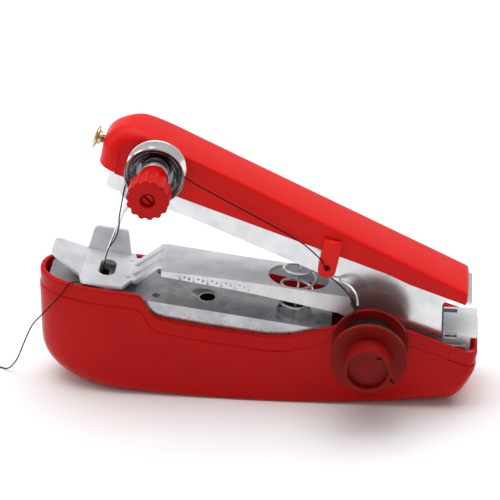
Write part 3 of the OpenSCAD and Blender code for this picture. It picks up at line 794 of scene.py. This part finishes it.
def make_springs():
    make_main_spring()
    knob, looper = middle("tension_spring"), middle("looper_pin")
    make_side_spring("tension_spring_coil", "tension_spring", "lever",
                     (knob.x, -12.2 * MM, knob.z), coil(3 * MM, 1.5 * MM, 2, 48), 0.35 * MM)
    make_side_spring("looper_spring_coil", "looper_spring", "base",
                     (looper.x, -0.9 * MM, looper.z), coil(1.75 * MM, 2 * MM, 3, 24), 0.25 * MM)
    make_side_spring("presser_spring_coil", "presser_spring", "base",
                     (HINGE.x, 3 * MM, HINGE.z), coil(2.5 * MM, 6 * MM, 5, 24), 0.4 * MM)


make_springs()

HOOK_ROUTE = [
    [20.4, -7.6, 34.9], [20.4, -8.6, 34.9], [21.8, -9.8, 34.8], [23.4, -11.2, 34.3],
    [24.6, -12.6, 33.2], [25, -13.6, 31.9], [25, -14, 31],
]
hook = wire("thread_hook_wire", path_of(HOOK_ROUTE, 8), 0.26 * MM)
paint(hook, SPRING_WIRE)
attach(hook, "lever")
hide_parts("thread_hook")


# ---------- thread on the spool ----------

def make_winding():
    """The wound thread: close turns in layers that cross, with an uneven surface."""
    rnd = random.Random(7)
    turns, steps, turns_a_layer = 44, 28, 11
    layer_rise = 0.12 * MM
    centre = middle("thread_winding")
    y0, y1 = low("thread_winding").y + 0.25 * MM, high("thread_winding").y - 0.25 * MM
    radius = (high("thread_winding").x - low("thread_winding").x) / 2
    path = []
    for i in range(turns * steps):
        t = i / steps
        share = (t / turns_a_layer) % 2
        share = share if share < 1 else 2 - share
        sag = 0.1 * MM * math.sin(share * math.pi) * rnd.random()
        layer = layer_rise * (math.floor(t / turns_a_layer) - 3)
        r = radius - 0.24 * MM - sag + layer
        a = 2 * math.pi * t
        path.append(Vector((centre.x + r * math.cos(a), y0 + (y1 - y0) * share,
                            centre.z + r * math.sin(a))))
    wound = wire("thread_winding_turns", path, 0.2 * MM, 2)
    paint(wound, THREAD)
    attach(wound, "spool")


make_winding()


# ---------- needle screw ----------

def make_needle_screw():
    """The brass screw: domed head, collar and threaded shank, turned about its own axis."""
    head_s, tip_s = -37.7 * MM, -25.1 * MM
    profile = [(-0.06, 0.0), (-0.02, 1.1), (0.08, 2.0), (0.26, 2.5), (0.5, 2.84), (0.7, 2.88)]
    profile += [(0.86, 2.8), (0.98, 2.6), (1.02, 2.0), (1.06, 1.75), (1.7, 1.68), (1.8, 1.5)]
    profile = [(head_s + (a + 0.06) * MM, r * MM) for a, r in profile]
    pitch, crest, root = 0.4 * MM, 1.12 * MM, 0.95 * MM
    place = head_s + 1.85 * MM
    while place < tip_s - pitch:
        profile += [(place, crest), (place + pitch / 2, root)]
        place += pitch
    profile += [(tip_s - 0.1 * MM, 0.9 * MM), (tip_s, 0.0)]
    axis_t = 3.35 * MM   # height of the screw's axis above the lever's edge line
    sides = 36
    verts, faces = [], []
    for s, r in profile:
        for k in range(sides):
            a = 2 * math.pi * k / sides
            verts.append(on_lever(s, r * math.cos(a), axis_t + r * math.sin(a)))
    for i in range(len(profile) - 1):
        for k in range(sides):
            a, b = i * sides + k, i * sides + (k + 1) % sides
            faces.append((a, b, b + sides, a + sides))
    screw = mesh_object("needle_screw_brass", verts, faces, 40)
    paint(screw, BRASS)
    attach(screw, "needle_screw")
    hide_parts("needle_screw")


make_needle_screw()


# ---------- finish of the CAD pieces ----------

CAD_FINISH = {
    ZINC: ["presser_arm", "looper_bracket"],
    CHANNEL_ZINC: ["lever_channel"],
    DECK_ZINC: ["base_frame"],
    WHITE_ZINC: ["saddle_plate"],
    STEEL: [
        "hinge_pin", "pin_clips", "housing_screws", "spool_spindle", "spool_washer",
        "looper_pin", "cover_rivets", "needle_holder", "push_strip", "looper",
    ],
    CHROME: ["tension_disc_back", "needle"],
    # The front disc's darker chrome is painted dark reflection.
    CHROME_PAINTED_DARK: ["tension_disc_front"],
    RED_KNOB: ["tension_knob", "tension_post"],
    SPOOL_RED: ["spool"],
    THREAD: ["thread_winding"],
}
EDGE_WIDTH = {
    "base_frame": 0.3, "presser_arm": 0.22, "lever_channel": 0.25, "saddle_plate": 0.2,
    "tension_knob": 0.22, "spool": 0.22,
    "tension_disc_back": 0.12, "tension_disc_front": 0.12,
}
NO_BEVEL = {"needle", "thread_winding", "tension_post"}


def finish_cad(name, material):
    """Give a CAD piece its material, small round edges and even shading."""
    obj = nodes[name]
    for slot_index in range(len(obj.material_slots)):
        obj.material_slots[slot_index].material = material
    if not obj.material_slots:
        obj.data.materials.append(material)
    weld = obj.modifiers.new("weld", "WELD")
    weld.merge_threshold = 1e-6
    if name not in NO_BEVEL:
        bevel = obj.modifiers.new("bevel", "BEVEL")
        bevel.width = EDGE_WIDTH.get(name, 0.1) * MM
        bevel.segments = 3
        bevel.limit_method = "ANGLE"
        bevel.angle_limit = math.radians(38)
        bevel.use_clamp_overlap = True
    normals = obj.modifiers.new("normals", "WEIGHTED_NORMAL")
    normals.keep_sharp = True
    normals.weight = 60


for material, names in CAD_FINISH.items():
    for name in names:
        finish_cad(name, material)


# ---------- floor and light ----------

def make_stage():
    """A pale floor that sweeps up behind the object."""
    size, sweep_from, sweep_r, steps = 3.0, 0.9, 0.8, 24
    verts, faces = [], []
    profile = [(-size, 0.0), (sweep_from, 0.0)]
    for i in range(1, steps + 1):
        a = math.pi / 2 * i / steps
        profile.append((sweep_from + sweep_r * math.sin(a), sweep_r * (1 - math.cos(a))))
    profile.append((sweep_from + sweep_r, size))
    for y, z in profile:
        verts += [(-size, y, z), (size, y, z)]
    for i in range(len(profile) - 1):
        faces.append((2 * i, 2 * i + 1, 2 * i + 3, 2 * i + 2))
    floor = mesh_object("floor", verts, faces, 60)
    mat = Mat("paper", (0.93, 0.93, 0.93, 1), roughness=0.9)
    mat.set("Specular IOR Level", 0.1)
    mat.bump(mat.noise(60, 2), 0.02, 0.0005)
    paint(floor, mat.material)


def soft_light(name, place, aim, size, power):
    data = bpy.data.lights.new(name, "AREA")
    data.shape = "RECTANGLE"
    data.size, data.size_y = size
    data.energy = power
    obj = link(bpy.data.objects.new(name, data))
    obj.location = place
    obj.rotation_euler = (Vector(place) - Vector(aim)).to_track_quat("Z", "Y").to_euler()


def make_light():
    world = bpy.data.worlds.new("studio")
    bpy.context.scene.world = world
    world.use_nodes = True
    background = world.node_tree.nodes["Background"]
    background.inputs["Color"].default_value = (1, 1, 1, 1)
    background.inputs["Strength"].default_value = 0.36
    aim = (0, 0, 0.03)
    soft_light("top_light", (-0.05, 0.2, 1.3), aim, (1.7, 1.4), 21)
    soft_light("left_light", (-1.0, -0.1, 0.6), aim, (0.5, 0.8), 2.2)


make_stage()
make_light()
scene = bpy.context.scene
scene.view_settings.view_transform = "Standard"
scene.view_settings.look = "None"
